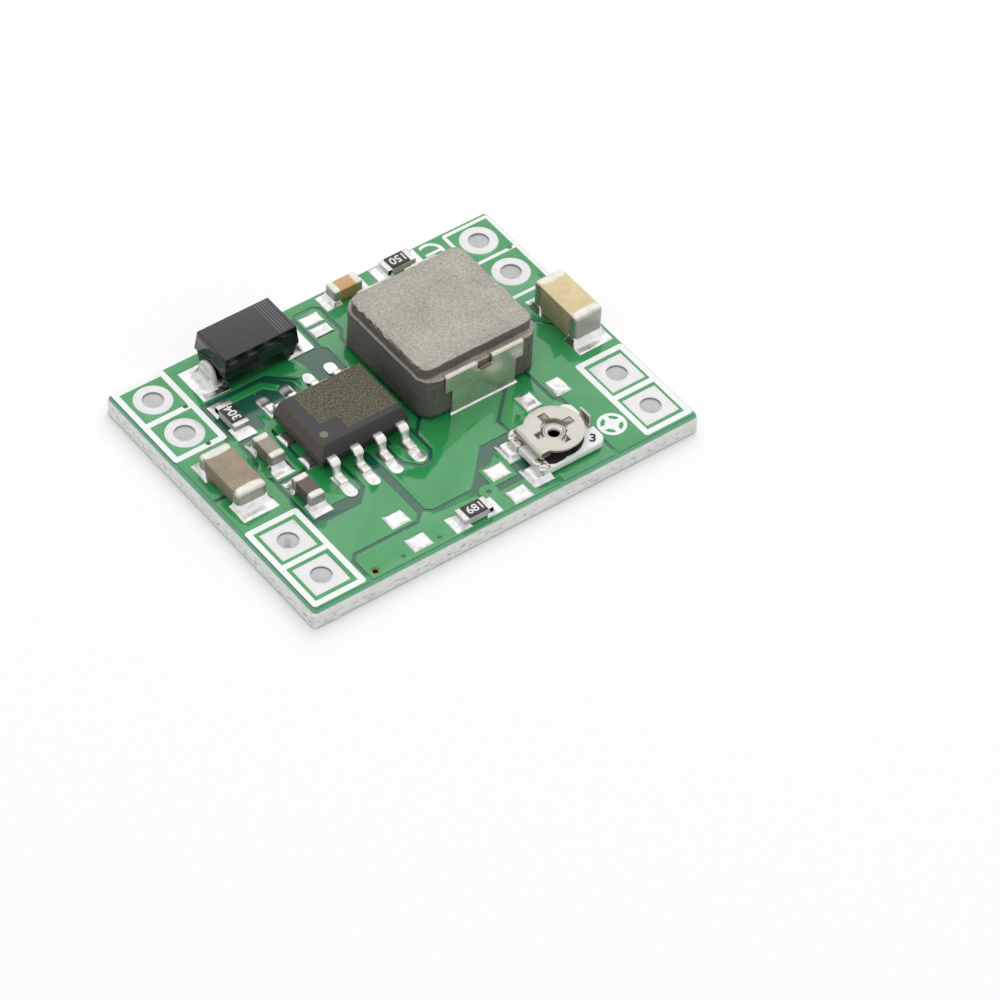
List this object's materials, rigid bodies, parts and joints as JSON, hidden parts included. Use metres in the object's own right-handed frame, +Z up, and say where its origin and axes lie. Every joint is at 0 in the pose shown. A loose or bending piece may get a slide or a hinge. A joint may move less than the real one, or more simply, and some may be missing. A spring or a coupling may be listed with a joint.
{
  "type": "buck converter module",
  "caption": "Small circuit board that lowers a supply voltage: controller, diode, moulded inductor, chip parts and a trimmer on top, plated holes at the corners.",
  "frame": {"origin": "middle of the eight terminal holes, on the underside of the board", "axes": "+X along the long edge towards the output holes, +Y towards the rear edge, +Z up through the parts"},
  "size_m": [0.0217, 0.0165, 0.004],
  "materials": {
    "laminate": "rough",
    "copper": "satin",
    "mask": "gloss",
    "print": "matte",
    "hole_tin": "satin",
    "solder": "bright",
    "controller_plastic": "matte",
    "diode_plastic": "satin",
    "lead_tin": "bright",
    "core_powder": "matte",
    "winding_copper": "satin",
    "terminal_tin": "satin",
    "input_ceramic": "satin",
    "output_ceramic": "satin",
    "enable_ceramic": "satin",
    "boost_ceramic": "satin",
    "filter_ceramic": "satin",
    "cap_tin": "satin",
    "alumina": "matte",
    "resistor_glaze": "satin",
    "trimmer_ceramic": "matte",
    "track_carbon": "matte",
    "rotor_metal": "satin",
    "eyelet_metal": "bright"
  },
  "bodies": {
    "board": {"board_laminate": "laminate", "copper_top": "copper", "copper_bottom": "copper", "solder_mask_top": "mask", "solder_mask_bottom": "mask", "silkscreen": "print", "terminal_hole_plating": "hole_tin", "via_plating": "copper", "tinned_lands": "solder", "solder_joints": "solder", "controller_body": "controller_plastic", "controller_leads": "lead_tin", "diode_body": "diode_plastic", "diode_anode_lead": "lead_tin", "diode_cathode_lead": "lead_tin", "inductor_core": "core_powder", "inductor_winding": "winding_copper", "inductor_front_terminal": "terminal_tin", "inductor_rear_terminal": "terminal_tin", "input_capacitor_body": "input_ceramic", "input_capacitor_ends": "cap_tin", "output_capacitor_body": "output_ceramic", "output_capacitor_ends": "cap_tin", "enable_capacitor_body": "enable_ceramic", "enable_capacitor_ends": "cap_tin", "boost_capacitor_body": "boost_ceramic", "boost_capacitor_ends": "cap_tin", "filter_capacitor_body": "filter_ceramic", "filter_capacitor_ends": "cap_tin", "left_resistor_chip": "alumina", "left_resistor_element": "resistor_glaze", "left_resistor_ends": "cap_tin", "rear_resistor_chip": "alumina", "rear_resistor_element": "resistor_glaze", "rear_resistor_ends": "cap_tin", "front_resistor_chip": "alumina", "front_resistor_element": "resistor_glaze", "front_resistor_ends": "cap_tin", "trimmer_base": "trimmer_ceramic", "trimmer_track": "track_carbon", "trimmer_rear_terminal": "lead_tin", "trimmer_front_terminal": "lead_tin", "trimmer_wiper_terminal": "rotor_metal", "trimmer_eyelet": "eyelet_metal"},
    "rotor": {"trimmer_rotor": "rotor_metal"}
  },
  "joints": [
    {"name": "trimmer_turn", "type": "hinge", "parent": "board", "child": "rotor", "pos_m": [0.0041, -0.006, 0.0018], "axis": [0, 0, 1], "range_deg": [-125, 125]}
  ]
}
